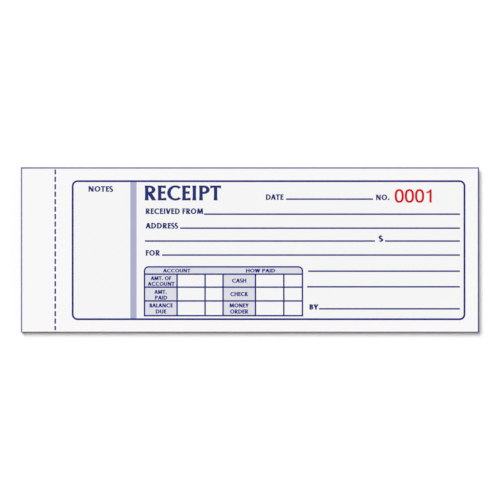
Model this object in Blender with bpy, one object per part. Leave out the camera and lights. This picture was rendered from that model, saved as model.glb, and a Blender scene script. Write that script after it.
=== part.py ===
# Carbonless duplicate receipt book: a left-bound pad of white originals and
# canary copies in a one-piece wraparound card cover, modelled with the cover
# flap folded back under the pad so that the first form lies on top.
#
# Frame: metres, +Z up, origin under the middle of the book on the surface it
# lies on. +X runs along the form from the bound edge to the open edge, +Y
# towards the top of the form.
import bpy
import bmesh

MM = 0.001

# ---- outer size (mm) ----
BOOK_LENGTH = 193.2      # outside of the spine panel to the outside of the fold
COVER_WIDTH = 69.6       # across the card, top to bottom of the form
SHEET_INSET_TOP = 0.64   # card margin showing above the sheets
SHEET_INSET_LOW = 0.24   # and below them

# ---- stock (mm) ----
CARD = 0.40              # cover card
PAPER = 0.08             # carbonless bond
AIR = 0.02               # air between one sheet and the next
GLUE = 0.12              # padding adhesive film
SETS = 25                # white original + canary copy in each set

# ---- cover (mm) ----
FOLD_GAP = 0.10          # between the back panel and the flap folded under it
SHEET_BED = 0.04         # back panel to the lowest sheet
GUSSET_LENGTH = 5.80     # fold to fold, spans the pad's height when closed
FOLD_RELIEF = 0.05       # half of the scored line between gusset and flap
BACK_INSET_X = 0.55      # fold line to the back panel's right edge
FLAP_LENGTH = 172.7      # closed, it ends clear of the perforated stub
FLAP_CORNER = 4.0        # rounding of the flap's free corners
PANEL_GAP = 0.02         # scored line between the back and spine panels

# ---- binding and perforation (mm) ----
SHEET_START = 0.60       # outside of the spine panel to the sheets' bound edge
PERFORATION = 14.5       # outside of the spine panel to the tear line
TIE_PITCH = 3.147        # tie to tie along the tear line
TIE_LENGTH = 0.94        # paper left between two cuts
TIES = 21
TIE_CLEAR = 0.01         # stub and slip each stand off the tear line by this
CUT_DEPTH = 0.09         # half the width of one cut

# ---- levels and stations worked out from the above (mm) ----
X_LEFT = -BOOK_LENGTH / 2
X_FOLD = BOOK_LENGTH / 2
X_SHEET = X_LEFT + SHEET_START
X_TEAR = X_LEFT + PERFORATION
X_OPEN = X_FOLD - BACK_INSET_X
HALF_COVER = COVER_WIDTH / 2
Y_SHEET_TOP = HALF_COVER - SHEET_INSET_TOP
Y_SHEET_LOW = -HALF_COVER + SHEET_INSET_LOW
Y_SHEET_MID = (Y_SHEET_TOP + Y_SHEET_LOW) / 2
Z_BACK = CARD + FOLD_GAP
Z_FOLD = CARD + FOLD_GAP / 2
Z_SHEETS = Z_BACK + CARD + SHEET_BED
PITCH = PAPER + AIR
LEAVES = 2 * SETS
Z_TOP = Z_SHEETS + (LEAVES - 1) * PITCH + PAPER
Z_BOUND = Z_TOP - AIR
X_FLAP_FOLD = X_FOLD - GUSSET_LENGTH

# hinge lines: a point (x, z) that the line runs through along Y
COVER_FOLD = (X_FOLD, Z_FOLD)
FLAP_FOLD = (X_FLAP_FOLD, 0.0)
LEAF_TURN = (X_SHEET, Z_TOP)
TEAR_FOLD = (X_TEAR, Z_TOP)


def clear_scene():
    for ob in list(bpy.data.objects):
        bpy.data.objects.remove(ob, do_unlink=True)


def make_material(name, rgb, roughness):
    mat = bpy.data.materials.new(name)
    mat.use_nodes = True
    bsdf = next(n for n in mat.node_tree.nodes if n.type == "BSDF_PRINCIPLED")
    bsdf.inputs["Base Color"].default_value = (*rgb, 1.0)
    bsdf.inputs["Roughness"].default_value = roughness
    bsdf.inputs["Metallic"].default_value = 0.0
    mat.diffuse_color = (*rgb, 1.0)
    return mat


def make_sheet(name, outline, z0, z1, axis, mat):
    """A flat piece: the outline (x, y) in mm, counter-clockwise seen from
    above, extruded from z0 to z1. Its origin is on the hinge line `axis`."""
    ox, oz = axis
    bm = bmesh.new()
    low = [bm.verts.new(((x - ox) * MM, y * MM, (z0 - oz) * MM)) for x, y in outline]
    base = bm.faces.new(low)
    grown = bmesh.ops.extrude_face_region(bm, geom=[base])
    top = [v for v in grown["geom"] if isinstance(v, bmesh.types.BMVert)]
    bmesh.ops.translate(bm, verts=top, vec=(0.0, 0.0, (z1 - z0) * MM))
    bmesh.ops.recalc_face_normals(bm, faces=bm.faces[:])
    mesh = bpy.data.meshes.new(name)
    bm.to_mesh(mesh)
    bm.free()
    mesh.materials.append(mat)
    ob = bpy.data.objects.new(name, mesh)
    ob.location = (ox * MM, 0.0, oz * MM)
    bpy.context.scene.collection.objects.link(ob)
    return ob


def make_perforated(name, z0, z1, axis, mat):
    """A whole sheet with the tear line cut through it: the stub and the slip
    sides stay joined by the ties between the cuts."""
    ox, oz = axis
    bm = bmesh.new()

    def vert(x, y):
        return bm.verts.new(((x - ox) * MM, y * MM, (z0 - oz) * MM))

    x_stub, x_slip = X_TEAR - CUT_DEPTH, X_TEAR + CUT_DEPTH
    ends = [Y_SHEET_LOW]
    for i in range(TIES):
        centre = Y_SHEET_MID + (i - (TIES - 1) / 2) * TIE_PITCH
        ends += [centre - TIE_LENGTH / 2, centre + TIE_LENGTH / 2]
    ends.append(Y_SHEET_TOP)
    stub_side = [vert(x_stub, y) for y in ends]
    slip_side = [vert(x_slip, y) for y in ends]
    faces = [
        bm.faces.new([vert(X_SHEET, Y_SHEET_TOP), vert(X_SHEET, Y_SHEET_LOW)] + stub_side),
        bm.faces.new([vert(X_OPEN, Y_SHEET_LOW), vert(X_OPEN, Y_SHEET_TOP)] + slip_side[::-1]),
    ]
    for i in range(1, len(ends) - 1, 2):
        faces.append(bm.faces.new([stub_side[i], slip_side[i], slip_side[i + 1],
                                   stub_side[i + 1]]))
    grown = bmesh.ops.extrude_face_region(bm, geom=faces)
    top = [v for v in grown["geom"] if isinstance(v, bmesh.types.BMVert)]
    bmesh.ops.translate(bm, verts=top, vec=(0.0, 0.0, (z1 - z0) * MM))
    bmesh.ops.recalc_face_normals(bm, faces=bm.faces[:])
    mesh = bpy.data.meshes.new(name)
    bm.to_mesh(mesh)
    bm.free()
    mesh.materials.append(mat)
    ob = bpy.data.objects.new(name, mesh)
    ob.location = (ox * MM, 0.0, oz * MM)
    bpy.context.scene.collection.objects.link(ob)
    return ob


def rectangle(x0, x1, y0, y1):
    return [(x0, y0), (x1, y0), (x1, y1), (x0, y1)]


def flap_outline(x0, x1, half, radius, steps=6):
    """A rectangle whose two corners at x0, the free edge, are rounded."""
    from math import cos, pi, sin

    pts = [(x1, -half), (x1, half)]
    for cy, start in ((half - radius, pi / 2), (-half + radius, pi)):
        for i in range(steps + 1):
            a = start + (pi / 2) * i / steps
            pts.append((x0 + radius + radius * cos(a), cy + radius * sin(a)))
    return pts


def tear_edge(side):
    """The toothed edge along the tear line, from the lower end to the upper:
    ties stand TIE_CLEAR off the line, cuts stand CUT_DEPTH off it. side is -1
    for the stub and +1 for the slip."""
    tie_x = X_TEAR + side * TIE_CLEAR
    cut_x = X_TEAR + side * CUT_DEPTH
    pts = [(cut_x, Y_SHEET_LOW)]
    for i in range(TIES):
        centre = Y_SHEET_MID + (i - (TIES - 1) / 2) * TIE_PITCH
        y0, y1 = centre - TIE_LENGTH / 2, centre + TIE_LENGTH / 2
        pts += [(cut_x, y0), (tie_x, y0), (tie_x, y1), (cut_x, y1)]
    pts.append((cut_x, Y_SHEET_TOP))
    return pts


def build():
    clear_scene()
    card = make_material("cover_card", (0.225, 0.215, 0.480), 0.62)
    white = make_material("white_bond", (0.930, 0.930, 0.935), 0.72)
    canary = make_material("canary_bond", (0.930, 0.850, 0.440), 0.72)
    adhesive = make_material("padding_adhesive", (0.780, 0.770, 0.800), 0.38)

    # One card, scored into four panels: spine, back, gusset and flap.
    make_sheet("cover_back_panel",
               rectangle(X_LEFT + CARD + PANEL_GAP, X_OPEN, -HALF_COVER, HALF_COVER),
               Z_BACK, Z_BACK + CARD, (0.0, 0.0), card)
    make_sheet("cover_spine_panel",
               rectangle(X_LEFT, X_LEFT + CARD, -HALF_COVER, HALF_COVER),
               Z_BACK, Z_BOUND, (0.0, 0.0), card)
    make_sheet("cover_gusset",
               rectangle(X_FLAP_FOLD + FOLD_RELIEF, X_FOLD, -HALF_COVER, HALF_COVER),
               0.0, CARD, COVER_FOLD, card)
    x1 = X_FLAP_FOLD - FOLD_RELIEF
    make_sheet("cover_flap",
               flap_outline(x1 - FLAP_LENGTH, x1, HALF_COVER, FLAP_CORNER),
               0.0, CARD, FLAP_FOLD, card)

    # The film that holds every sheet by its left edge.
    make_sheet("padding_glue",
               rectangle(X_LEFT + CARD + PANEL_GAP, X_LEFT + CARD + PANEL_GAP + GLUE,
                         Y_SHEET_LOW, Y_SHEET_TOP),
               Z_SHEETS, Z_BOUND, (0.0, 0.0), adhesive)

    # The sheets, top to bottom. The first original is parted along its tear
    # line: its stub stays in the binding and its slip folds and tears off. The
    # other originals still hang together by their ties, and the copies, which
    # stay in the book, have no tear line.
    for leaf in range(LEAVES):
        z1 = Z_TOP - leaf * PITCH
        z0 = z1 - PAPER
        number = leaf // 2 + 1
        if leaf == 0:
            stub = [(X_SHEET, Y_SHEET_TOP), (X_SHEET, Y_SHEET_LOW)] + tear_edge(-1)
            slip = [(X_OPEN, Y_SHEET_LOW), (X_OPEN, Y_SHEET_TOP)] + tear_edge(1)[::-1]
            make_sheet("set_01_original_stub", stub, z0, z1, LEAF_TURN, white)
            make_sheet("set_01_original_slip", slip, z0, z1, TEAR_FOLD, white)
        elif leaf % 2 == 0:
            make_perforated(f"set_{number:02d}_original", z0, z1, LEAF_TURN, white)
        else:
            make_sheet(f"set_{number:02d}_copy",
                       rectangle(X_SHEET, X_OPEN, Y_SHEET_LOW, Y_SHEET_TOP),
                       z0, z1, LEAF_TURN, canary)


build()
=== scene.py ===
import math
import random

import bpy
import numpy as np
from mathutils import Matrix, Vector
from mathutils.geometry import delaunay_2d_cdt


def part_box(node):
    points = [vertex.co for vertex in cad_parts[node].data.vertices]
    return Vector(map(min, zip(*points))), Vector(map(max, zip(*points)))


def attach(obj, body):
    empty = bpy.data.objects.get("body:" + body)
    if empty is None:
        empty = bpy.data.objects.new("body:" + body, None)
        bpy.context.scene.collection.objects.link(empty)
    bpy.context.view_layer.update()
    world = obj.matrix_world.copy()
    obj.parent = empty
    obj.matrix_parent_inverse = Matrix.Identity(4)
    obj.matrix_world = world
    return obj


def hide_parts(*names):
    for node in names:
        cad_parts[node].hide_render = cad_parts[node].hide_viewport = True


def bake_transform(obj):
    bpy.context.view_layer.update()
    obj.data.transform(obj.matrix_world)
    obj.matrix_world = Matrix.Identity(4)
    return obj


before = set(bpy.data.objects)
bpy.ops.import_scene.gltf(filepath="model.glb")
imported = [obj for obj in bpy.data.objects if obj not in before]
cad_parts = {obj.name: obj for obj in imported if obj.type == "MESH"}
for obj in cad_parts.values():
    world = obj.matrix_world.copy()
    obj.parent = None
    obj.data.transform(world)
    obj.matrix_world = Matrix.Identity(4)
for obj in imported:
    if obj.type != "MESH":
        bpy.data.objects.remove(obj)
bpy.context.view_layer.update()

MM = 0.001

# ---- stations of the book, mm (the frame's own numbers) ----
slip_lo, slip_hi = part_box("set_01_original_slip")
stub_lo, stub_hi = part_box("set_01_original_stub")
back_lo, back_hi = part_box("cover_back_panel")
spine_lo, spine_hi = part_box("cover_spine_panel")
gusset_lo, gusset_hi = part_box("cover_gusset")
flap_lo, flap_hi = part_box("cover_flap")
glue_lo, glue_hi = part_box("padding_glue")
X_SHEET = stub_lo.x / MM             # bound edge of the sheets
X_OPEN = slip_hi.x / MM              # their free edge
HALF = (slip_hi.y - slip_lo.y) / 2 / MM   # half their height on the page
Y_MID = (slip_hi.y + slip_lo.y) / 2 / MM  # their middle, a little low on the card
Z_TOP = slip_hi.z / MM               # face of the first sheet
PAPER = (slip_hi.z - slip_lo.z) / MM
PITCH = (Z_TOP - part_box("set_25_copy")[1].z / MM) / 49.0
X_TEAR = (stub_hi.x + slip_lo.x) / 2 / MM
CARD = (back_hi.z - back_lo.z) / MM
HALF_COVER = back_hi.y / MM
TIES, TIE_PITCH, TIE_LENGTH = 21, 3.147, 0.94
CUT = 0.007                          # half the width of one closed cut of the tear line
TIE_CLEAR = 0.004


# =====================================================================
# Letterforms: plain flared capitals drawn from strokes, cap height 1
# =====================================================================
STEM, THIN = 0.215, 0.135


def turn_ccw(pts):
    area = sum(a[0] * b[1] - b[0] * a[1] for a, b in zip(pts, pts[1:] + pts[:1]))
    return pts if area > 0 else pts[::-1]


def stem(x, y0, y1, w):
    """An upright that swells a little towards both ends; x is its middle."""
    e, m = w * 0.56, w * 0.465
    a, b = y0 + 0.24 * (y1 - y0), y0 + 0.76 * (y1 - y0)
    return [(x - e, y0), (x + e, y0), (x + m, a), (x + m, b), (x + e, y1),
            (x - e, y1), (x - m, b), (x - m, a)]


def arm(x0, x1, y0, y1, up=0.0, down=0.0):
    """A bar from a stem to a free end that opens by up and down."""
    d = x1 - 0.55 * (x1 - x0)
    return [(x0, y0), (d, y0), (x1, y0 - down), (x1, y1 + up), (d, y1), (x0, y1)]


def slant(xb, yb, xt, yt, w):
    """A diagonal with level ends; w is its level width."""
    h = w / 2
    return [(xb - h, yb), (xb + h, yb), (xt + h, yt), (xt - h, yt)]


def ring(cx, cy, rx, ry, thick, thin, a0, a1, n):
    """Part of a bowl: heavy at the sides, light at top and bottom."""
    out, back = [], []
    for i in range(n + 1):
        a = math.radians(a0 + (a1 - a0) * i / n)
        out.append((cx + rx * math.cos(a), cy + ry * math.sin(a)))
        back.append((cx + (rx - thick) * math.cos(a), cy + (ry - thin) * math.sin(a)))
    return out + back[::-1]


def brush(spine, widths):
    """A stroke along a spine of points, with its full width at each."""
    left, right = [], []
    last = len(spine) - 1
    for i, (x, y) in enumerate(spine):
        xa, ya = spine[max(i - 1, 0)]
        xb, yb = spine[min(i + 1, last)]
        d = math.hypot(xb - xa, yb - ya)
        nx, ny = -(yb - ya) / d, (xb - xa) / d
        h = widths[i] / 2
        left.append((x + nx * h, y + ny * h))
        right.append((x - nx * h, y - ny * h))
    return left + right[::-1]


def sweep(cx, cy, rx, ry, a0, a1, n):
    return [(cx + rx * math.cos(math.radians(a0 + (a1 - a0) * i / n)),
             cy + ry * math.sin(math.radians(a0 + (a1 - a0) * i / n))) for i in range(n + 1)]


def ess(x, k, weight, bars):
    """The double curve of an S, x wide, swelling towards its middle."""
    up = sweep(x * 0.50, 0.735, x * 0.33, 0.215, 28, 225, 4 * k)
    low = sweep(x * 0.49, 0.255, x * 0.36, 0.205, 45, -150, 4 * k)
    spine = up + low
    n = len(spine) - 1
    widths = [0.125 * bars + (0.21 * weight - 0.125 * bars) * math.sin(math.pi * i / n) ** 2 for i in range(n + 1)]
    return brush(spine, widths)


def capital(c, k, weight, bars):
    """(strokes, width, left side, right side) of one letter. k sets how finely
    curves are cut. Sides: s straight, r round, o open,
    c of a C, d diagonal, l leg."""
    S, T = STEM * weight, THIN * bars
    if c == "A":
        return [slant(0.085, 0, 0.385, 1, T * 1.22), slant(0.665, 0, 0.395, 1, S * 1.18),
                [(0.17, 0.27), (0.60, 0.27), (0.57, 0.27 + T), (0.21, 0.27 + T)]], 0.79, "d", "d"
    if c == "B":
        return [stem(S / 2, 0, 1, S),
                [(S / 2, 1 - T), (0.30, 1 - T), (0.30, 1), (S / 2, 1)],
                [(S / 2, 0.465), (0.30, 0.465), (0.30, 0.465 + T), (S / 2, 0.465 + T)],
                [(S / 2, 0), (0.30, 0), (0.30, T), (S / 2, T)],
                ring(0.28, 0.735, 0.265, 0.265, S * 0.95, T, -90, 90, 4 * k),
                ring(0.28, 0.30, 0.31, 0.30, S, T, -90, 90, 4 * k)], 0.59, "s", "r"
    if c == "C":
        return [ring(0.525, 0.5, 0.525, 0.515, S, T, 47, 313, 6 * k)], 0.885, "r", "c"
    if c == "D":
        return [stem(S / 2, 0, 1, S),
                [(S / 2, 1 - T), (0.31, 1 - T), (0.31, 1), (S / 2, 1)],
                [(S / 2, 0), (0.31, 0), (0.31, T), (S / 2, T)],
                ring(0.30, 0.5, 0.52, 0.5, S, T, -90, 90, 5 * k)], 0.82, "s", "r"
    if c == "E":
        return [stem(S / 2, 0, 1, S), arm(S / 2, 0.51, 1 - T, 1, down=0.045),
                arm(S / 2, 0.46, 0.455, 0.455 + T, up=0.03, down=0.03),
                arm(S / 2, 0.53, 0, T, up=0.045)], 0.53, "s", "o"
    if c == "F":
        return [stem(S / 2, 0, 1, S), arm(S / 2, 0.51, 1 - T, 1, down=0.045),
                arm(S / 2, 0.45, 0.44, 0.44 + T, up=0.03, down=0.03)], 0.51, "s", "o"
    if c == "H":
        return [stem(S / 2, 0, 1, S), stem(0.77 - S / 2, 0, 1, S),
                [(S / 2, 0.46), (0.77 - S / 2, 0.46), (0.77 - S / 2, 0.46 + T), (S / 2, 0.46 + T)]], 0.77, "s", "s"
    if c == "I":
        return [stem(S / 2, 0, 1, S)], S, "s", "s"
    if c == "K":
        return [stem(S / 2, 0, 1, S), slant(0.17, 0.42, 0.56, 1, T * 1.35),
                slant(0.60, 0, 0.26, 0.62, S * 1.2)], 0.72, "s", "d"
    if c == "L":
        return [stem(S / 2, 0, 1, S), arm(S / 2, 0.50, 0, T, up=0.05)], 0.50, "s", "o"
    if c == "M":
        return [slant(0.10, 0, 0.17, 1, T * 1.15), slant(0.455, 0.06, 0.20, 1, S * 1.1),
                slant(0.455, 0.06, 0.76, 1, T * 1.3), slant(0.855, 0, 0.80, 1, S)], 0.965, "s", "s"
    if c == "N":
        return [stem(T * 0.6, 0, 1, T * 1.12), slant(0.685, 0, 0.11, 1, S * 1.25),
                stem(0.80 - T * 0.6, 0, 1, T * 1.12)], 0.80, "s", "s"
    if c == "O":
        return [ring(0.475, 0.5, 0.475, 0.515, S, T, 0, 180, 4 * k),
                ring(0.475, 0.5, 0.475, 0.515, S, T, 180, 360, 4 * k)], 0.95, "r", "r"
    if c in "PR":
        made = [stem(S / 2, 0, 1, S),
                [(S / 2, 1 - T), (0.31, 1 - T), (0.31, 1), (S / 2, 1)],
                [(S / 2, 0.435), (0.31, 0.435), (0.31, 0.435 + T), (S / 2, 0.435 + T)],
                ring(0.30, 0.7175, 0.365, 0.2825, S, T, -90, 90, 4 * k)]
        if c == "P":
            return made, 0.665, "s", "o"
        return made + [slant(0.585, 0, 0.285, 0.50, S * 1.22)], 0.71, "s", "l"
    if c == "S":
        return [ess(0.52, k, weight, bars)], 0.52, "o", "r"
    if c == "T":
        return [stem(0.345, 0, 1, S), arm(0.345, 0.69, 1 - T, 1, down=0.055),
                arm(0.345, 0.0, 1 - T, 1, down=0.055)], 0.69, "d", "d"
    if c == "U":
        return [stem(S / 2, 0.30, 1, S), stem(0.73 - T * 0.62, 0.30, 1, T * 1.2),
                ring(0.365, 0.36, 0.365, 0.375, S * 0.86, T, 180, 360, 5 * k)], 0.73, "s", "s"
    if c == "V":
        return [slant(0.37, 0, 0.125, 1, S * 1.18), slant(0.385, 0, 0.685, 1, T * 1.25)], 0.77, "d", "d"
    if c == "W":
        return [slant(0.325, 0, 0.115, 1, S * 1.12), slant(0.335, 0, 0.54, 1, T * 1.2),
                slant(0.765, 0, 0.56, 1, S * 1.12), slant(0.775, 0, 0.99, 1, T * 1.2)], 1.07, "d", "d"
    if c == "Y":
        return [stem(0.335, 0, 0.485, S), slant(0.325, 0.40, 0.125, 1, S * 1.15),
                slant(0.350, 0.38, 0.60, 1, T * 1.25)], 0.68, "d", "d"
    if c == "$":
        return [ess(0.54, k, weight, bars), [(0.235, -0.16), (0.305, -0.16), (0.305, 1.16), (0.235, 1.16)]], 0.54, "r", "r"
    if c == ".":
        return [sweep(0.155, 0.15, 0.155, 0.155, 0, 315, 7)], 0.31, "s", "s"
    raise ValueError(c)


SIDE = {"s": 0.097, "r": 0.035, "o": 0.02, "c": -0.026, "d": 0.005, "l": 0.013}


def words(text, x0, x1, y0, y1, k=1, weight=1.24, bars=1.46, gaps=0.85):
    """Capitals set between x0 and x1 on the line y0, as high as y1. The letter
    gaps and widths are spread to fill the measure."""
    h = y1 - y0
    placed, pen, before = [], 0.0, None
    for c in text:
        if c == " ":
            pen += 0.40
            before = None
            continue
        strokes, w, left, right = capital(c, k, weight, bars)
        if before is not None:
            pen += gaps * (SIDE[before] + SIDE[left])
        placed.append((strokes, pen))
        pen += w
        before = right
    sx = (x1 - x0) / pen
    return [[(x0 + (p[0] + at) * sx, y0 + p[1] * h) for p in s] for strokes, at in placed for s in strokes]


# ---- serial numbers: plain round-cornered numerals of one weight ----
def oval(cx, cy, rx, ry, w, n, square=2.45):
    """A closed bowl of one stroke, a little squarer than an ellipse."""
    def at(a, dx, dy):
        c, s = math.cos(a), math.sin(a)
        return (cx + math.copysign(abs(c) ** (2 / square), c) * (rx - dx),
                cy + math.copysign(abs(s) ** (2 / square), s) * (ry - dy))

    made = []
    for half in (0, 1):
        turn = [math.pi * (half + i / n) for i in range(n + 1)]
        made.append([at(a, 0, 0) for a in turn] + [at(a, w, w * 0.88) for a in turn[::-1]])
    return made


def numeral(c, k):
    w = 0.174
    h = w / 2
    n = 5 * k
    if c == "0":
        return oval(0.344, 0.5, 0.349, 0.515, w, 3 * n)
    if c == "1":
        return [[(0.318, 0), (0.488, 0), (0.488, 1), (0.400, 1), (0.318, 0.90)],
                brush([(0.09, 0.760), (0.23, 0.780), (0.33, 0.845), (0.408, 0.99)], [0.125, 0.13, 0.13, 0.07])]
    if c == "2":
        top = sweep(0.315, 0.71, 0.255, 0.235, 172, -38, 2 * n)
        return [brush(top + [(0.08, 0.10)], [w] * (len(top) + 1)),
                [(0.02, 0), (0.62, 0), (0.62, 0.115), (0.02, 0.115)]]
    if c == "3":
        return [brush(sweep(0.30, 0.735, 0.235, 0.21, 160, -75, 2 * n), [w] * (2 * n + 1)),
                brush(sweep(0.30, 0.275, 0.27, 0.225, 82, -160, 2 * n), [w] * (2 * n + 1)),
                [(0.22, 0.46), (0.36, 0.46), (0.36, 0.57), (0.22, 0.57)]]
    if c == "4":
        return [[(0.42, 0), (0.42 + w, 0), (0.42 + w, 1), (0.42, 1)],
                brush([(0.04, 0.30), (0.455, 0.93)], [0.11, 0.12]),
                [(0.0, 0.235), (0.645, 0.235), (0.645, 0.345), (0.0, 0.345)]]
    if c == "5":
        return [[(0.10, 0.885), (0.575, 0.885), (0.575, 1), (0.10, 1)],
                brush([(0.155, 0.97), (0.095, 0.47)], [0.12, 0.12]),
                brush(sweep(0.305, 0.315, 0.27, 0.265, 140, -160, 3 * n), [w] * (3 * n + 1))]
    if c in "69":
        made = [ring(0.325, 0.315, 0.315, 0.325, w * 1.05, w * 0.9, 0, 180, 2 * n),
                ring(0.325, 0.315, 0.315, 0.325, w * 1.05, w * 0.9, 180, 360, 2 * n),
                brush(sweep(0.345, 0.42, 0.275, 0.535, 38, 190, 2 * n), [w * 0.95] * (2 * n + 1))]
        if c == "9":
            made = [[(0.65 - x, 1.0 - y) for x, y in s] for s in made]
        return made
    if c == "7":
        return [[(0.03, 0.88), (0.62, 0.88), (0.62, 1), (0.03, 1)],
                brush([(0.215, 0.0), (0.30, 0.36), (0.43, 0.66), (0.575, 0.92)], [w, w, w, w])]
    if c == "8":
        made = []
        for cy, rx, ry in ((0.745, 0.275, 0.265), (0.265, 0.32, 0.275)):
            made += [ring(0.325, cy, rx, ry, w, w * 0.9, 0, 180, 2 * n),
                     ring(0.325, cy, rx, ry, w, w * 0.9, 180, 360, 2 * n)]
        return made
    raise ValueError(c)


def serial(number, x0, y0, height, pitch, k=1):
    out = []
    for i, c in enumerate(f"{number:04d}"):
        out += [[(x0 + i * pitch + x * height, y0 + y * height) for x, y in s] for s in numeral(c, k)]
    return out


# =====================================================================
# The printed form, mm from the middle of the sheet
# =====================================================================
PAPER_SLOT, SCREEN, BAND, CELL, INK, RED, LINE, EDGE = range(8)
VOID = -1


def box(x0, x1, y0, y1):
    return [(x0, y0), (x1, y0), (x1, y1), (x0, y1)]


def rounded(x0, x1, y0, y1, r, corners="1111", n=6):
    """A rectangle with rounded corners, named from lower left anticlockwise."""
    pts = []
    for on, cx, cy, a in ((corners[0], x0 + r, y0 + r, 180), (corners[1], x1 - r, y0 + r, 270),
                          (corners[2], x1 - r, y1 - r, 0), (corners[3], x0 + r, y1 - r, 90)):
        if on == "1" and r > 0:
            pts += sweep(cx, cy, r, r, a, a + 90, n)
        else:
            pts.append((x0 if a in (180, 90) else x1, y0 if a in (180, 270) else y1))
    return pts


FRAME_LINE, RULE = 0.79, 0.63
SMALL = 1.20, 1.50, 0.40             # stems, bars and gaps of the table's small words


def form(number, k):
    """Every printed area as (outline, level, finish): where areas overlap, the
    highest level shows."""
    out = []

    def put(level, finish, *outlines):
        out.extend((o, level, finish) for o in outlines)

    # the frame of the receipt and the tinted bar beside its notes column
    h = FRAME_LINE / 2
    fx0, fx1, fy0, fy1, fr = -74.755, 90.435, -29.11, 29.09, 2.05
    put(1, LINE, rounded(fx0 - h, fx1 + h, fy0 - h, fy1 + h, fr + h))
    put(2, SCREEN, rounded(fx0 + h, fx1 - h, fy0 + h, fy1 - h, fr - h))
    put(3, BAND, box(-50.44, -47.82, fy0 + h, fy1 - h))

    # write-in rules
    def rule(x0, x1, y):
        put(6, LINE, box(x0, x1, y - RULE / 2, y + RULE / 2))

    rule(15.2, 51.9, 21.52)
    rule(-19.4, 88.5, 15.18)
    rule(-29.5, 88.5, 9.28)
    rule(-44.3, 52.7, 3.85)
    rule(56.9, 88.5, 3.85)
    rule(-37.1, 88.5, -2.06)
    rule(24.5, 88.5, -8.85)
    rule(24.1, 88.5, -15.45)
    rule(29.1, 88.5, -24.73)

    # the account table: one inked block with its cells laid over it
    h = RULE / 2
    tx0, tx1, ty0, ty1, tr = -44.47, 22.12, -27.63, -7.04, 1.7
    put(4, LINE, rounded(tx0 - h, tx1 + h, ty0 - h, ty1 + h, tr + h, "0011"))
    head, rows = -10.11, (-10.11, -15.59, -21.41, -27.63)
    columns = (tx0, -30.73, -18.93, -11.35, 2.31, 14.26, tx1)
    put(5, CELL, rounded(tx0 + h, tx1 - h, head + h, ty1 - h, tr - h, "0011"))
    for top, low in zip(rows, rows[1:]):
        for i, (left, right) in enumerate(zip(columns, columns[1:])):
            put(5, CELL if i in (0, 3) else SCREEN, box(left + h, right - h, low + h, top - h))

    # field names
    put(7, INK, *words("NOTES", -68.1, -57.8, 24.65, 27.0, k))
    put(7, INK, *words("RECEIPT", -44.3, -12.2, 20.98, 27.25, 2 * k, 1.07, 1.08, 1.0))
    put(7, INK, *words("RECEIVED FROM", -43.95, -19.8, 15.22, 17.62, k))
    put(7, INK, *words("ADDRESS", -43.95, -30.35, 9.10, 11.50, k))
    put(7, INK, *words("FOR", -43.95, -37.95, -2.35, 0.05, k))
    put(7, INK, *words("DATE", 6.72, 14.15, 21.2, 23.55, k))
    put(7, INK, *words("NO.", 53.15, 58.9, 21.1, 23.45, k))
    put(7, INK, *words("$", 54.25, 56.1, 3.65, 6.10, k, 1.18, 1.4))
    put(7, INK, *words("BY", 25.05, 28.8, -25.05, -22.8, k))
    put(7, LINE, *words("ACCOUNT", -36.6, -25.1, -9.40, -7.85, k, *SMALL))
    put(7, LINE, *words("HOW PAID", -1.7, 10.65, -9.40, -7.85, k, *SMALL))
    put(7, LINE, *words("AMT. OF", -41.8, -33.2, -12.70, -11.00, k, *SMALL))
    put(7, LINE, *words("ACCOUNT", -43.05, -31.8, -15.05, -13.35, k, *SMALL))
    put(7, LINE, *words("AMT.", -40.3, -35.05, -18.45, -16.75, k, *SMALL))
    put(7, LINE, *words("PAID", -40.05, -34.85, -20.87, -19.17, k, *SMALL))
    put(7, LINE, *words("BALANCE", -42.35, -32.5, -24.15, -22.45, k, *SMALL))
    put(7, LINE, *words("DUE", -39.75, -35.25, -26.70, -25.00, k, *SMALL))
    put(7, LINE, *words("CASH", -7.6, -1.55, -13.70, -12.00, k, *SMALL))
    put(7, LINE, *words("CHECK", -8.3, -0.8, -19.40, -17.65, k, *SMALL))
    put(7, LINE, *words("MONEY", -8.6, -0.6, -24.15, -22.45, k, *SMALL))
    put(7, LINE, *words("ORDER", -8.4, -0.7, -26.75, -25.00, k, *SMALL))

    # serial number
    put(8, RED, *serial(number, 61.0, 20.05, 5.62, 4.29, k))
    return out


def cuts():
    """(y0, y1) of each cut of the tear line; paper ties are left between."""
    edges = [-HALF]
    for i in range(TIES):
        c = (i - (TIES - 1) / 2) * TIE_PITCH
        edges += [c - TIE_LENGTH / 2, c + TIE_LENGTH / 2]
    edges.append(HALF)
    return list(zip(edges[0::2], edges[1::2]))


def dashes(x0, x1):
    """The printed dashes, one along each cut; the end ones stop short of the
    sheet's edges."""
    return [(box(x0, x1, max(a, 0.60 - HALF), min(b, HALF - 0.32)), 3, LINE) for a, b in cuts()]


# =====================================================================
# Sheets as closed meshes
# =====================================================================
def triangulate(shapes, lines=(), points=()):
    """Cuts overlapping outlines into triangles. Returns the points, the
    triangles and each one's finish; level 0 is the sheet itself."""
    verts, faces, edges = [], [], []
    for outline, level, finish in shapes:
        ring_ = turn_ccw(list(outline))
        at = len(verts)
        verts += [Vector((x, y)) for x, y in ring_]
        faces.append(list(range(at, at + len(ring_))))
    for a, b in lines:
        at = len(verts)
        verts += [Vector(a), Vector(b)]
        edges.append((at, at + 1))
    verts += [Vector(p) for p in points]
    vo, _, fo, _, _, source = delaunay_2d_cdt(verts, edges, faces, 1, 1e-4, True)
    tris, finish = [], []
    for f, src in zip(fo, source):
        tags = [shapes[i][1:] for i in src]
        if not any(level == 0 for level, _ in tags):
            continue
        slot = max(tags)[1]
        if slot != VOID:
            tris.append(tuple(f))
            finish.append(slot)
    used = sorted({i for t in tris for i in t})
    new = {i: n for n, i in enumerate(used)}
    return [(vo[i].x, vo[i].y) for i in used], [tuple(new[i] for i in t) for t in tris], finish


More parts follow.
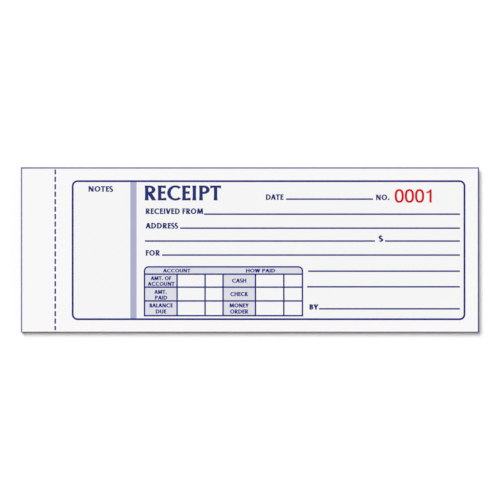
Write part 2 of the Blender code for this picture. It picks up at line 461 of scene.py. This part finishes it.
def key(p):
    return round(p[0] * 5000), round(p[1] * 5000)


def sheet(name, structure, printed, lines, points, z_top, thickness, bow, materials, edge=0, y_mid=0.0):
    """A closed sheet: printed face up, plain face down and walls all round.
    bow(x, y) lifts the whole thickness; y_mid is where its middle lies."""
    top, tris, finish = triangulate(structure + printed, lines, points)
    seen = {}
    for a, b, c in tris:
        for e in ((a, b), (b, c), (c, a)):
            seen[e] = True
    rim = [(a, b) for a, b in seen if (b, a) not in seen]
    rim_points = [top[i] for i in sorted({i for e in rim for i in e})]
    low, low_tris, _ = triangulate(structure, lines, list(points) + rim_points)
    index = {key(p): i for i, p in enumerate(low)}
    xy = np.array(top + low, float)
    lift = bow(xy[:, 0], xy[:, 1])
    z = np.concatenate([np.full(len(top), z_top), np.full(len(low), z_top - thickness)]) + lift
    co = np.column_stack([xy[:, 0], xy[:, 1] + y_mid, z]) * MM
    n = len(top)
    faces = [list(t) for t in tris]
    slots = list(finish)
    faces += [[n + c, n + b, n + a] for a, b, c in low_tris]
    slots += [0] * len(low_tris)
    for a, b in rim:
        la, lb = n + index[key(top[a])], n + index[key(top[b])]
        faces.append([la, lb, b, a])
        slots.append(edge)
    mesh = bpy.data.meshes.new(name)
    mesh.from_pydata(co.tolist(), [], faces)
    mesh.polygons.foreach_set("material_index", np.array(slots, np.int32))
    for m in materials:
        mesh.materials.append(m)
    # a flat map: printed face, plain face and rim each in their own place
    uv = mesh.uv_layers.new(name="flat")
    x0, y0 = xy.min(0)
    span = xy[:, 0].max() - x0
    height = (xy[:, 1].max() - y0) / span
    loops = np.empty(len(mesh.loops), np.int32)
    mesh.loops.foreach_get("vertex_index", loops)
    flat = np.column_stack([(xy[:, 0] - x0) / span, (xy[:, 1] - y0) / span])[loops]
    top_loops, low_loops = 3 * len(tris), 3 * (len(tris) + len(low_tris))
    flat[top_loops:low_loops, 1] += height + 0.02
    walls = flat[low_loops:].reshape(-1, 4, 2)
    around = np.cumsum(np.linalg.norm(walls[:, 1] - walls[:, 0], axis=1))
    start = np.concatenate([[0.0], around[:-1]])
    total = max(around[-1], 1e-9)
    base = 2 * height + 0.05
    for corner, (along, up) in enumerate(((start, 0.0), (around, 0.0), (around, 0.02), (start, 0.02))):
        walls[:, corner, 0] = along / total
        walls[:, corner, 1] = base + up
    flat[low_loops:] = walls.reshape(-1, 2)
    flat /= max(1.0, base + 0.03)
    uv.data.foreach_set("uv", flat.astype(np.float32).ravel())
    mesh.validate()
    mesh.shade_smooth()
    mesh.set_sharp_from_angle(angle=math.radians(40))
    ob = bpy.data.objects.new(name, mesh)
    bpy.context.scene.collection.objects.link(ob)
    return ob


# =====================================================================
# Finishes
# =====================================================================
def lin(r, g, b):
    """A display colour (0-255) as scene light."""
    return tuple(c / 12.92 / 255 if c <= 10.3 else ((c / 255 + 0.055) / 1.055) ** 2.4 for c in (r, g, b))


class Finish:
    """A Principled material built node by node."""

    def __init__(self, name, colour, roughness, **sockets):
        self.mat = bpy.data.materials.new(name)
        self.mat.use_nodes = True
        self.nodes, self.links = self.mat.node_tree.nodes, self.mat.node_tree.links
        self.bsdf = next(n for n in self.nodes if n.type == "BSDF_PRINCIPLED")
        self.bsdf.inputs["Base Color"].default_value = (*colour, 1)
        self.bsdf.inputs["Roughness"].default_value = roughness
        for socket, value in sockets.items():
            self.bsdf.inputs[socket.replace("_", " ")].default_value = value
        self.mat.diffuse_color = (*colour, 1)

    def add(self, kind, inputs=(), **settings):
        node = self.nodes.new("ShaderNode" + kind)
        for a, v in settings.items():
            setattr(node, a, v)
        for a, v in dict(inputs).items():
            if isinstance(v, bpy.types.NodeSocket):
                self.links.new(v, node.inputs[a])
            else:
                node.inputs[a].default_value = v
        return node

    def to(self, socket, out):
        self.links.new(out, self.bsdf.inputs[socket])

    def math(self, op, a, b=0.0, clamp=False):
        return self.add("Math", {0: a, 1: b}, operation=op, use_clamp=clamp).outputs[0]

    def ranged(self, value, a, b, c, d):
        return self.add("MapRange", {"Value": value, "From Min": a, "From Max": b, "To Min": c, "To Max": d}).outputs[0]

    def mm(self, stretch=(1, 1, 1)):
        """Object space in millimetres."""
        at = self.add("TexCoord").outputs["Object"]
        return self.add("Mapping", {"Vector": at, "Scale": [1000 * s for s in stretch]}).outputs[0]

    def noise(self, vector, scale, detail=3.0, rough=0.55):
        return self.add("TexNoise", {"Vector": vector, "Scale": scale, "Detail": detail, "Roughness": rough}).outputs["Fac"]

    def blend(self, factor, a, b):
        node = self.add("Mix", {"Factor": factor}, data_type="RGBA", blend_type="MIX")
        for i, v in ((6, a), (7, b)):
            if isinstance(v, bpy.types.NodeSocket):
                self.links.new(v, node.inputs[i])
            else:
                node.inputs[i].default_value = (*v, 1)
        return node.outputs[2]

    def bump(self, height, strength, distance):
        node = self.add("Bump", {"Height": height, "Strength": strength, "Distance": distance})
        self.to("Normal", node.outputs[0])


def shade(c, k):
    return tuple(min(1.0, v * k) for v in c)


def fibres(f):
    """Paper fibre: short matted strands over cloudy formation, 0 to 1."""
    at = f.mm()
    strands = f.noise(f.mm((0.45, 1.6, 1.0)), 3.2, 4.0, 0.6)
    cross = f.noise(f.mm((1.5, 0.5, 1.0)), 3.0, 4.0, 0.6)
    cloud = f.noise(at, 0.11, 2.0, 0.5)
    matted = f.math("ADD", f.math("MULTIPLY", strands, 0.4), f.math("MULTIPLY", cross, 0.4))
    return f.math("ADD", matted, f.math("MULTIPLY", cloud, 0.2)), matted


def paper(name, colour, spread=0.018, patterned=True, rough=0.66):
    f = Finish(name, colour, rough, Specular_IOR_Level=0.1)
    tone, matted = fibres(f)
    if patterned:
        k = f.ranged(tone, 0.30, 0.70, 0.0, 1.0)
        f.to("Base Color", f.blend(k, shade(colour, 1 - spread), shade(colour, 1 + spread * 0.6)))
    f.to("Roughness", f.ranged(matted, 0.25, 0.6, rough - 0.07, rough + 0.07))
    f.bump(matted, 0.25, 0.00002)
    return f.mat


def screened(name, colour, dot, spread=0.014, pitch=0.86):
    """Paper under the form's safety screen: a very pale staggered dot."""
    f = Finish(name, colour, 0.66, Specular_IOR_Level=0.1)
    tone, matted = fibres(f)
    k = f.ranged(tone, 0.30, 0.70, 0.0, 1.0)
    base = f.blend(k, shade(colour, 1 - spread), shade(colour, 1 + spread * 0.6))
    span = X_OPEN - X_SHEET
    at = f.add("UVMap", uv_map="flat").outputs[0]
    cell = f.add("Mapping", {"Vector": at, "Scale": (span / pitch, span / pitch, 0),
                             "Rotation": (0, 0, math.radians(45))}).outputs[0]
    part = f.add("VectorMath", {0: cell}, operation="FRACTION").outputs[0]
    off = f.add("VectorMath", {0: part, 1: (0.5, 0.5, 0.0)}, operation="SUBTRACT").outputs[0]
    far = f.add("VectorMath", {0: off}, operation="LENGTH").outputs["Value"]
    spot = f.ranged(far, 0.30, 0.42, 1.0, 0.0)
    f.to("Base Color", f.blend(spot, base, dot))
    f.to("Roughness", f.ranged(matted, 0.25, 0.6, 0.58, 0.72))
    f.bump(matted, 0.25, 0.00002)
    return f.mat


def tint(name, colour, light):
    """A printed tint: ink that takes unevenly over the fibre."""
    f = Finish(name, colour, 0.6, Specular_IOR_Level=0.1)
    tone, matted = fibres(f)
    k = f.ranged(tone, 0.30, 0.70, 0.0, 1.0)
    f.to("Base Color", f.blend(k, colour, light))
    f.to("Roughness", f.ranged(matted, 0.25, 0.6, 0.52, 0.66))
    f.bump(matted, 0.2, 0.00002)
    return f.mat


def ink(name, colour, rough=0.5):
    f = Finish(name, colour, rough, Specular_IOR_Level=0.04)
    _, matted = fibres(f)
    f.to("Roughness", f.ranged(matted, 0.25, 0.6, rough - 0.08, rough + 0.1))
    f.bump(matted, 0.2, 0.00002)
    return f.mat


def card_stock(name, colour):
    """Coloured cover card: dyed fibre with paler flecks, and scuffed bare
    along its edges and folds."""
    f = Finish(name, colour, 0.6, Specular_IOR_Level=0.3)
    at = f.mm()
    weave = f.noise(f.mm((0.6, 1.4, 1.0)), 2.4, 5.0, 0.65)
    cloud = f.noise(at, 0.09, 2.0, 0.5)
    fleck = f.noise(f.mm((0.5, 2.2, 1.0)), 5.0, 2.0, 0.5)
    k = f.ranged(f.math("ADD", f.math("MULTIPLY", weave, 0.7), f.math("MULTIPLY", cloud, 0.3)), 0.32, 0.68, 0.0, 1.0)
    body = f.blend(k, shade(colour, 0.90), shade(colour, 1.10))
    pale = f.ranged(fleck, 0.66, 0.80, 0.0, 0.35)
    body = f.blend(pale, body, tuple(0.6 * c + 0.4 * 0.75 for c in colour))
    edge = f.add("NewGeometry").outputs["Pointiness"]
    worn = f.math("MULTIPLY", f.ranged(edge, 0.56, 0.70, 0.0, 0.12), f.ranged(weave, 0.35, 0.65, 0.3, 1.0))
    f.to("Base Color", f.blend(worn, body, tuple(0.5 * c + 0.5 * 0.78 for c in colour)))
    f.to("Roughness", f.ranged(weave, 0.3, 0.7, 0.50, 0.70))
    f.bump(f.math("ADD", weave, f.math("MULTIPLY", fleck, 0.5)), 0.35, 0.00004)
    return f.mat


def glue_film(name, colour):
    f = Finish(name, colour, 0.38, Specular_IOR_Level=0.5)
    at = f.mm((1.0, 0.6, 1.0))
    lumps = f.noise(at, 0.9, 3.0, 0.5)
    k = f.ranged(lumps, 0.3, 0.7, 0.0, 1.0)
    f.to("Base Color", f.blend(k, shade(colour, 0.88), shade(colour, 1.08)))
    f.to("Roughness", f.ranged(lumps, 0.3, 0.7, 0.30, 0.48))
    f.bump(lumps, 0.4, 0.00006)
    return f.mat


WHITE = (0.797, 0.790, 0.796)
WHITE_IN = (0.794, 0.791, 0.784)
WHITE_DOT = (0.741, 0.740, 0.745)
CANARY = (0.820, 0.745, 0.285)
CANARY_IN = (0.800, 0.725, 0.272)
CANARY_DOT = (0.755, 0.680, 0.265)
WHITE_EDGE = (0.790, 0.785, 0.780)
CANARY_EDGE = (0.800, 0.762, 0.540)   # paler and less yellow than the dyed face: painted light that brightens the pad's shaded sides and keeps their bounce from turning the shadows yellow
NAVY = (0.0150, 0.0245, 0.1420)
NAVY_LINE = (0.0105, 0.0170, 0.1800)
RED_INK = (0.568, 0.0015, 0.0060)
CARD_COLOUR = (0.114, 0.105, 0.400)
CARD_SHEEN_GREYED = (0.110, 0.102, 0.245)     # spine and back: a greyer copy of the card colour, painted sheen standing in for the key light's gloss on the lit top and left margins

white = [paper("white_bond", WHITE), screened("white_bond_screen", WHITE_IN, WHITE_DOT),
         tint("tint_bar", (0.325, 0.345, 0.500), (0.355, 0.375, 0.530)),
         tint("tint_cell", (0.597, 0.596, 0.655), (0.625, 0.624, 0.683)),
         ink("navy_ink", NAVY), ink("red_ink", RED_INK, 0.46), ink("navy_rule_ink", NAVY_LINE),
         paper("white_edge", WHITE_EDGE, patterned=False)]
canary = [paper("canary_bond", CANARY), screened("canary_bond_screen", CANARY_IN, CANARY_DOT),
          tint("tint_bar_copy", (0.345, 0.340, 0.250), (0.372, 0.366, 0.270)),
          tint("tint_cell_copy", (0.610, 0.560, 0.260), (0.640, 0.588, 0.275)),
          ink("copy_ink", (0.022, 0.030, 0.110)), ink("copy_red_ink", (0.560, 0.0120, 0.0120), 0.46),
          ink("copy_rule_ink", (0.022, 0.030, 0.130)),
          # canary edge: the paler edge colour, painted light for the pad's shaded sides
          paper("canary_edge", CANARY_EDGE, patterned=False)]


def inner_papers(base, n, colour, spread=0.025):
    """Papers for the sheets inside the pad, each a little off the others."""
    out = []
    rnd = random.Random(base)
    for i in range(n):
        k = 1 + rnd.uniform(-spread, spread * 0.7)
        out.append(paper(f"{base}_{i + 1}", shade(colour, k), patterned=False, rough=0.66 + rnd.uniform(-0.04, 0.04)))
    return out


white_inside = inner_papers("white_bond_inside", 3, WHITE)
canary_inside = inner_papers("canary_bond_inside", 3, CANARY)
white_edges = inner_papers("white_edge", 4, WHITE_EDGE, 0.09)
# the canary edge variants keep that paler colour, painted light for the pad's shaded sides
canary_edges = inner_papers("canary_edge", 4, CANARY_EDGE, 0.09)
white_tints = [ink("tint_bar_inside", (0.360, 0.377, 0.535), 0.6), ink("tint_cell_inside", (0.615, 0.613, 0.702), 0.6)]
canary_tints = [ink("tint_bar_copy_inside", (0.358, 0.353, 0.260), 0.6), ink("tint_cell_copy_inside", (0.625, 0.574, 0.267), 0.6)]
white_in = paper("white_screen_inside", WHITE_IN, patterned=False)
canary_in = paper("canary_screen_inside", CANARY_IN, patterned=False)
card = card_stock("cover_card", CARD_COLOUR)
# the spine and back take the greyer copy of the card: painted sheen on the lit margins, while the fold and flap keep
# the full colour
card_sheen_greyed = card_stock("cover_card_sheen_greyed", CARD_SHEEN_GREYED)
card_line = ink("cover_border_ink", (0.045, 0.042, 0.150), 0.5)
adhesive = glue_film("padding_adhesive", (0.60, 0.585, 0.63))


# =====================================================================
# The pad: 25 sets of a white original and a canary copy
# =====================================================================
bend_stations = [X_SHEET + 0.25 + i * 0.63 for i in range(19)]


def bow_of(leaf):
    """How the free edge of a sheet stands off the one below: the first sheets
    lift a little towards the lower corner, deeper ones lie pressed flat."""
    amount = 0.26 * 0.72 ** leaf

    def bow(x, y):
        u = np.clip((x - X_TEAR - 6.0) / (X_OPEN - X_TEAR - 6.0), 0, 1)
        v = (1 - y / HALF) / 2
        return amount * u ** 3 * (0.30 + 0.70 * v ** 2)

    return bow


def grid(x0, x1, step=8.0):
    nx, ny = max(1, round((x1 - x0) / step)), max(1, round(2 * HALF / step))
    return [(x0 + (x1 - x0) * i / nx, -HALF + 2 * HALF * j / ny)
            for i in range(1, nx) for j in range(1, ny)]


def divided(shapes, step=8.0):
    """The same outlines with their long sides divided, so that the sheet's
    edges and its print follow the curl."""
    out = []
    for outline, level, finish in shapes:
        pts = list(outline)
        ring_ = []
        for (x0, y0), (x1, y1) in zip(pts, pts[1:] + pts[:1]):
            n = max(1, math.ceil(math.hypot(x1 - x0, y1 - y0) / step))
            ring_ += [(x0 + (x1 - x0) * i / n, y0 + (y1 - y0) * i / n) for i in range(n)]
        out.append((ring_, level, finish))
    return out


def across(xs):
    return [((x, -HALF), (x, HALF)) for x in xs]


def toothed(side):
    """The torn edge along the tear line, lower end to upper."""
    tie, cut = X_TEAR + side * TIE_CLEAR, X_TEAR + side * CUT
    pts = [(cut, -HALF)]
    for i in range(TIES):
        c = (i - (TIES - 1) / 2) * TIE_PITCH
        a, b = c - TIE_LENGTH / 2, c + TIE_LENGTH / 2
        pts += [(cut, a), (tie, a), (tie, b), (cut, b)]
    return pts + [(cut, HALF)]


DASH = 0.33                          # half the width of a printed dash

# first original: the stub in the binding and the slip beyond the tear line
stub_shape = [([(X_SHEET, HALF), (X_SHEET, -HALF)] + toothed(-1), 0, PAPER_SLOT)]
stub = sheet("receipt_01_stub", stub_shape, dashes(X_TEAR - DASH, X_TEAR - CUT),
             across(bend_stations), [], Z_TOP, PAPER, bow_of(0), white, EDGE, Y_MID)
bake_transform(stub)
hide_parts("set_01_original_stub")

slip_shape = [([(X_OPEN, -HALF), (X_OPEN, HALF)] + toothed(1)[::-1], 0, PAPER_SLOT)]
slip = sheet("receipt_01_slip", divided(slip_shape),
             dashes(X_TEAR + CUT, X_TEAR + DASH) + divided(form(1, 2)),
             [], grid(X_TEAR + 4, X_OPEN), Z_TOP, PAPER, bow_of(0), white, EDGE, Y_MID)
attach(slip, "slip_01")
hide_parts("set_01_original_slip")

# every other sheet is whole
trim = random.Random(7)
for leaf in range(1, 50):
    number = leaf // 2 + 1
    z = Z_TOP - leaf * PITCH
    x_open = X_OPEN - trim.uniform(0.0, 0.08)
    low, high = HALF - trim.uniform(0.0, 0.06), HALF - trim.uniform(0.0, 0.06)
    whole = [(box(X_SHEET, x_open, -low, high), 0, PAPER_SLOT)]
    fine = 2 if leaf < 4 else 1
    extra = grid(X_TEAR + 4, x_open) if leaf < 10 else []
    lines = across(bend_stations)
    if leaf % 2 == 0:
        whole += [(box(X_TEAR - CUT, X_TEAR + CUT, a, b), 9, VOID) for a, b in cuts()]
        printed = dashes(X_TEAR - DASH, X_TEAR + DASH) + form(number, fine)
        near = [white_inside[leaf // 2 % 3], white_in] + white_tints + white[4:7] + [trim.choice(white_edges)]
        node, kind, mats = f"set_{number:02d}_original", "receipt", white if leaf == 2 else near
    else:
        printed = form(number, fine)
        near = [canary_inside[leaf // 2 % 3], canary_in] + canary_tints + canary[4:7] + [trim.choice(canary_edges)]
        node, kind, mats = f"set_{number:02d}_copy", "copy", canary if leaf == 1 else near
    if leaf < 10:
        whole, printed = divided(whole), divided(printed)
    ob = sheet(f"{kind}_{number:02d}", whole, printed, lines, extra, z, PAPER, bow_of(leaf), mats, EDGE, Y_MID)
    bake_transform(ob)
    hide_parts(node)


# =====================================================================
# The cover: one scored card
# =====================================================================
def extruded(name, profile, half, material, joins=(), cuts_along=36, ease=0.06):
    """A closed band: profile (x, z) in mm, drawn along the width of the book,
    with its end edges eased. At the stations x in joins the card goes on into
    the next panel, so the ends stay square there."""
    ys = [-half, -half + ease * 0.35, -half + ease]
    ys += [-half + ease + (2 * half - 2 * ease) * i / cuts_along for i in range(1, cuts_along)]
    ys += [half - ease, half - ease * 0.35, half]
    verts, faces = [], []
    n = len(profile)
    inset = offset_ring(profile, ease * 0.5, joins)
    for y in ys:
        d = min(y + half, half - y)
        if d < ease * 0.2:
            ring_ = inset[1]
        elif d < ease * 0.6:
            ring_ = inset[0]
        else:
            ring_ = profile
        verts += [(x * MM, y * MM, z * MM) for x, z in ring_]
    for j in range(len(ys) - 1):
        for i in range(n):
            a, b = j * n + i, j * n + (i + 1) % n
            faces.append((a, b, b + n, a + n))
    faces.append(tuple(range(n))[::-1])
    faces.append(tuple(range((len(ys) - 1) * n, len(ys) * n)))
    mesh = bpy.data.meshes.new(name)
    mesh.from_pydata(verts, [], faces)
    mesh.materials.append(material)
    mesh.validate()
    import bmesh
    bm = bmesh.new()
    bm.from_mesh(mesh)
    bmesh.ops.triangulate(bm, faces=[f for f in bm.faces if len(f.verts) > 4])
    bmesh.ops.recalc_face_normals(bm, faces=bm.faces[:])
    bm.to_mesh(mesh)
    bm.free()
    mesh.shade_smooth()
    mesh.set_sharp_from_angle(angle=math.radians(50))
    ob = bpy.data.objects.new(name, mesh)
    bpy.context.scene.collection.objects.link(ob)
    return ob


def offset_ring(profile, d, joins):
    """The profile pulled in by d * 0.3 and by d, for eased ends."""
    pts = turn_ccw([tuple(p) for p in profile])
    flipped = pts != [tuple(p) for p in profile]
    rings = []
    for k in (0.3 * d, d):
        out = []
        m = len(pts)
        for i, (x, z) in enumerate(pts):
            xa, za = pts[i - 1]
            xb, zb = pts[(i + 1) % m]
            na = (-(z - za), x - xa)
            nb = (-(zb - z), xb - x)
            la, lb = math.hypot(*na) or 1, math.hypot(*nb) or 1
            nx, nz = na[0] / la + nb[0] / lb, na[1] / la + nb[1] / lb
            ln = math.hypot(nx, nz) or 1
            kept = any(abs(x - j) < 1e-6 for j in joins)
            out.append((x, z + math.copysign(k, nz)) if kept else (x + nx / ln * k, z + nz / ln * k))
        rings.append(out[::-1] if flipped else out)
    return rings


def arc(cx, cz, r, a0, a1, n):
    return [(cx + r * math.cos(math.radians(a0 + (a1 - a0) * i / n)),
             cz + r * math.sin(math.radians(a0 + (a1 - a0) * i / n))) for i in range(n + 1)]


x_left, z_back, z_under = spine_lo.x / MM, back_lo.z / MM, gusset_lo.z / MM
z_bound = spine_hi.z / MM
x_fold = gusset_hi.x / MM
z_gap = (gusset_hi.z + back_lo.z) / 2 / MM      # middle of the gap in the fold
r_in = (back_lo.z - gusset_hi.z) / 2 / MM
r_out = r_in + CARD
x_turn = x_fold - r_out                          # middle of the fold's curve
x_joint = back_hi.x / MM


def run(a, b, n):
    """Points from a to b, the end left out."""
    return [(a[0] + (b[0] - a[0]) * i / n, a[1] + (b[1] - a[1]) * i / n) for i in range(n)]


# spine and back panel, one bend between them
cx, cz = x_left + CARD + 0.06, z_back + CARD + 0.06
tip = 0.10
profile = (arc(x_left + tip, z_bound - tip, tip, 90, 180, 4)
           + run((x_left, z_bound - 0.8), (x_left, cz), 4)
           + arc(cx, cz, CARD + 0.06, 180, 270, 8)
           + run((cx + 2, z_back), (x_joint, z_back), 40)
           + [(x_joint, z_back), (x_joint, z_back + CARD)]
           + run((x_joint - 2, z_back + CARD), (cx, z_back + CARD), 40)
           + arc(cx, cz, 0.06, 270, 180, 4)
           + run((cx - 0.06, cz + 0.8), (cx - 0.06, z_bound - tip), 3)
           + arc(x_left + CARD - tip, z_bound - tip, tip, 0, 90, 4))
# the spine and back are built in the greyer card copy, painted sheen on the lit margins
back = extruded("cover_back", profile, HALF_COVER, card_sheen_greyed, [x_joint])
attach(back, "pad")
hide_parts("cover_back_panel", "cover_spine_panel")

# the fold at the open edge and the gusset below the back panel
x_split = gusset_lo.x / MM + 0.75
profile = ([(x_joint, z_back + CARD)] + arc(x_turn, z_gap, r_out, 90, -90, 24)
           + run((x_turn - 0.3, z_under), (x_split, z_under), 8)
           + [(x_split, z_under), (x_split, z_under + CARD)]
           + run((x_split + 0.3, z_under + CARD), (x_turn, z_under + CARD), 8)
           + arc(x_turn, z_gap, r_in, -90, 90, 12) + [(x_joint, z_back)])
gusset = extruded("cover_gusset_fold", profile, HALF_COVER, card, [x_joint, x_split])
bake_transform(gusset)
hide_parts("cover_gusset")

# the flap, with a plain ruled border on its outer face
x_end, x_hinge = flap_lo.x / MM, (flap_hi.x + gusset_lo.x) / 2 / MM
hc = HALF_COVER
flap_shape = [(rounded(x_end, x_split, -hc, hc, 4.0, "1001", 10), 0, 0)]
border = []
for inset, w in ((5.0, 0.7), (6.6, 0.3)):
    border.append((rounded(x_end + inset, x_hinge - inset, -hc + inset, hc - inset, 2.0), 1 + 2 * (inset > 6), 1))
    border.append((rounded(x_end + inset + w, x_hinge - inset - w, -hc + inset + w, hc - inset - w, 2.0 - w),
                   2 + 2 * (inset > 6), 0))
fold_lines = [((x_hinge + d, -hc), (x_hinge + d, hc)) for d in (-0.5, -0.4, -0.3, -0.2, -0.1, 0.0, 0.1, 0.2, 0.3, 0.4, 0.5)]
flap = sheet("cover_flap_panel", flap_shape, border, fold_lines, grid(x_end + 6, x_hinge - 4),
             flap_hi.z / MM, CARD, lambda x, y: 0 * x, [card, card_line])
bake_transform(flap)
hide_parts("cover_flap")


# =====================================================================
# Padding adhesive on the bound edge
# =====================================================================
def glue_strip():
    rnd = random.Random(11)
    x0, x1 = glue_lo.x / MM, glue_hi.x / MM
    z0, z1 = glue_lo.z / MM, glue_hi.z / MM
    half, mid = (glue_hi.y - glue_lo.y) / 2 / MM, (glue_hi.y + glue_lo.y) / 2 / MM
    ny, nz = 90, 12
    verts, faces = [], []
    wave = [rnd.uniform(-1, 1) for _ in range(ny + 1)]
    wave = [(wave[max(i - 1, 0)] + 2 * wave[i] + wave[min(i + 1, ny)]) / 4 for i in range(ny + 1)]
    for side in (0, 1):
        for j in range(ny + 1):
            y = mid - half + 2 * half * j / ny
            for i in range(nz + 1):
                t = i / nz
                z = z0 + (z1 - 0.03 + 0.03 * wave[j] - z0) * t
                x = x0 if side == 0 else x1 - 0.02 * (0.5 + 0.5 * math.sin(3.1 * y + 9 * t))
                verts.append((x * MM, y * MM, z * MM))
    m = (ny + 1) * (nz + 1)
    at = lambda s, j, i: s * m + j * (nz + 1) + i
    for j in range(ny):
        for i in range(nz):
            faces.append((at(0, j, i), at(0, j, i + 1), at(0, j + 1, i + 1), at(0, j + 1, i)))
            faces.append((at(1, j, i), at(1, j + 1, i), at(1, j + 1, i + 1), at(1, j, i + 1)))
        for i in (0, nz):
            q = (at(0, j, i), at(0, j + 1, i), at(1, j + 1, i), at(1, j, i))
            faces.append(q if i == 0 else q[::-1])
    for i in range(nz):
        for j in (0, ny):
            q = (at(0, j, i), at(1, j, i), at(1, j, i + 1), at(0, j, i + 1))
            faces.append(q if j == 0 else q[::-1])
    import bmesh
    mesh = bpy.data.meshes.new("padding_film")
    mesh.from_pydata(verts, [], faces)
    bm = bmesh.new()
    bm.from_mesh(mesh)
    bmesh.ops.recalc_face_normals(bm, faces=bm.faces[:])
    bm.to_mesh(mesh)
    bm.free()
    mesh.materials.append(adhesive)
    mesh.shade_smooth()
    mesh.set_sharp_from_angle(angle=math.radians(50))
    ob = bpy.data.objects.new("padding_film", mesh)
    bpy.context.scene.collection.objects.link(ob)
    return ob


film = glue_strip()
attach(film, "pad")
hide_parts("padding_glue")


# =====================================================================
# Stage, light and camera
# =====================================================================
scene = bpy.context.scene
scene.view_settings.view_transform = "Standard"
scene.view_settings.look = "None"

floor_mesh = bpy.data.meshes.new("floor")
r = 30.0
floor_mesh.from_pydata([(-r, -r, 0), (r, -r, 0), (r, r, 0), (-r, r, 0)], [], [(0, 1, 2, 3)])
floor = bpy.data.objects.new("floor", floor_mesh)
floor.location.z = -0.00002
scene.collection.objects.link(floor)
ground = Finish("floor_sweep", (0.885, 0.885, 0.885), 0.9, Specular_IOR_Level=0.1)
ground.bump(ground.noise(ground.mm(), 0.4, 2.0), 0.02, 0.00002)
floor_mesh.materials.append(ground.mat)

world = bpy.data.worlds.new("studio")
scene.world = world
world.use_nodes = True
wn, wl = world.node_tree.nodes, world.node_tree.links
background = next(n for n in wn if n.type == "BACKGROUND")
coord = wn.new("ShaderNodeTexCoord")
split = wn.new("ShaderNodeSeparateXYZ")
ramp = wn.new("ShaderNodeValToRGB")
wl.new(coord.outputs["Generated"], split.inputs[0])
wl.new(split.outputs["Z"], ramp.inputs["Fac"])
ramp.color_ramp.elements[0].position = 0.20
ramp.color_ramp.elements[0].color = (0.93, 0.93, 0.93, 1)
ramp.color_ramp.elements[1].position = 0.48
ramp.color_ramp.elements[1].color = (0.238, 0.238, 0.2425, 1)
wl.new(ramp.outputs["Color"], background.inputs["Color"])
background.inputs["Strength"].default_value = 1.0

key_light = bpy.data.lights.new("key", "SUN")
key_light.energy = 2.88
key_light.angle = math.radians(24)
key_light.color = (1.0, 0.998, 0.995)
sun = bpy.data.objects.new("key", key_light)
sun.rotation_mode = "QUATERNION"
sun.rotation_quaternion = Vector((0.247, -0.268, -1.0)).to_track_quat("-Z", "Y")
scene.collection.objects.link(sun)

PX = 0.4216 * MM                     # one pixel of the picture on the sheet
camera = bpy.data.cameras.new("camera")
camera.lens = 1000.0
camera.sensor_width = 36.0
camera.clip_start, camera.clip_end = 0.1, 40.0
eye = bpy.data.objects.new("camera", camera)
eye.location = (0.02 * PX, 0.17 * PX + Y_MID * MM, Z_TOP * MM + 500 * PX * camera.lens / camera.sensor_width)
scene.collection.objects.link(eye)
scene.camera = eye

bpy.context.view_layer.update()
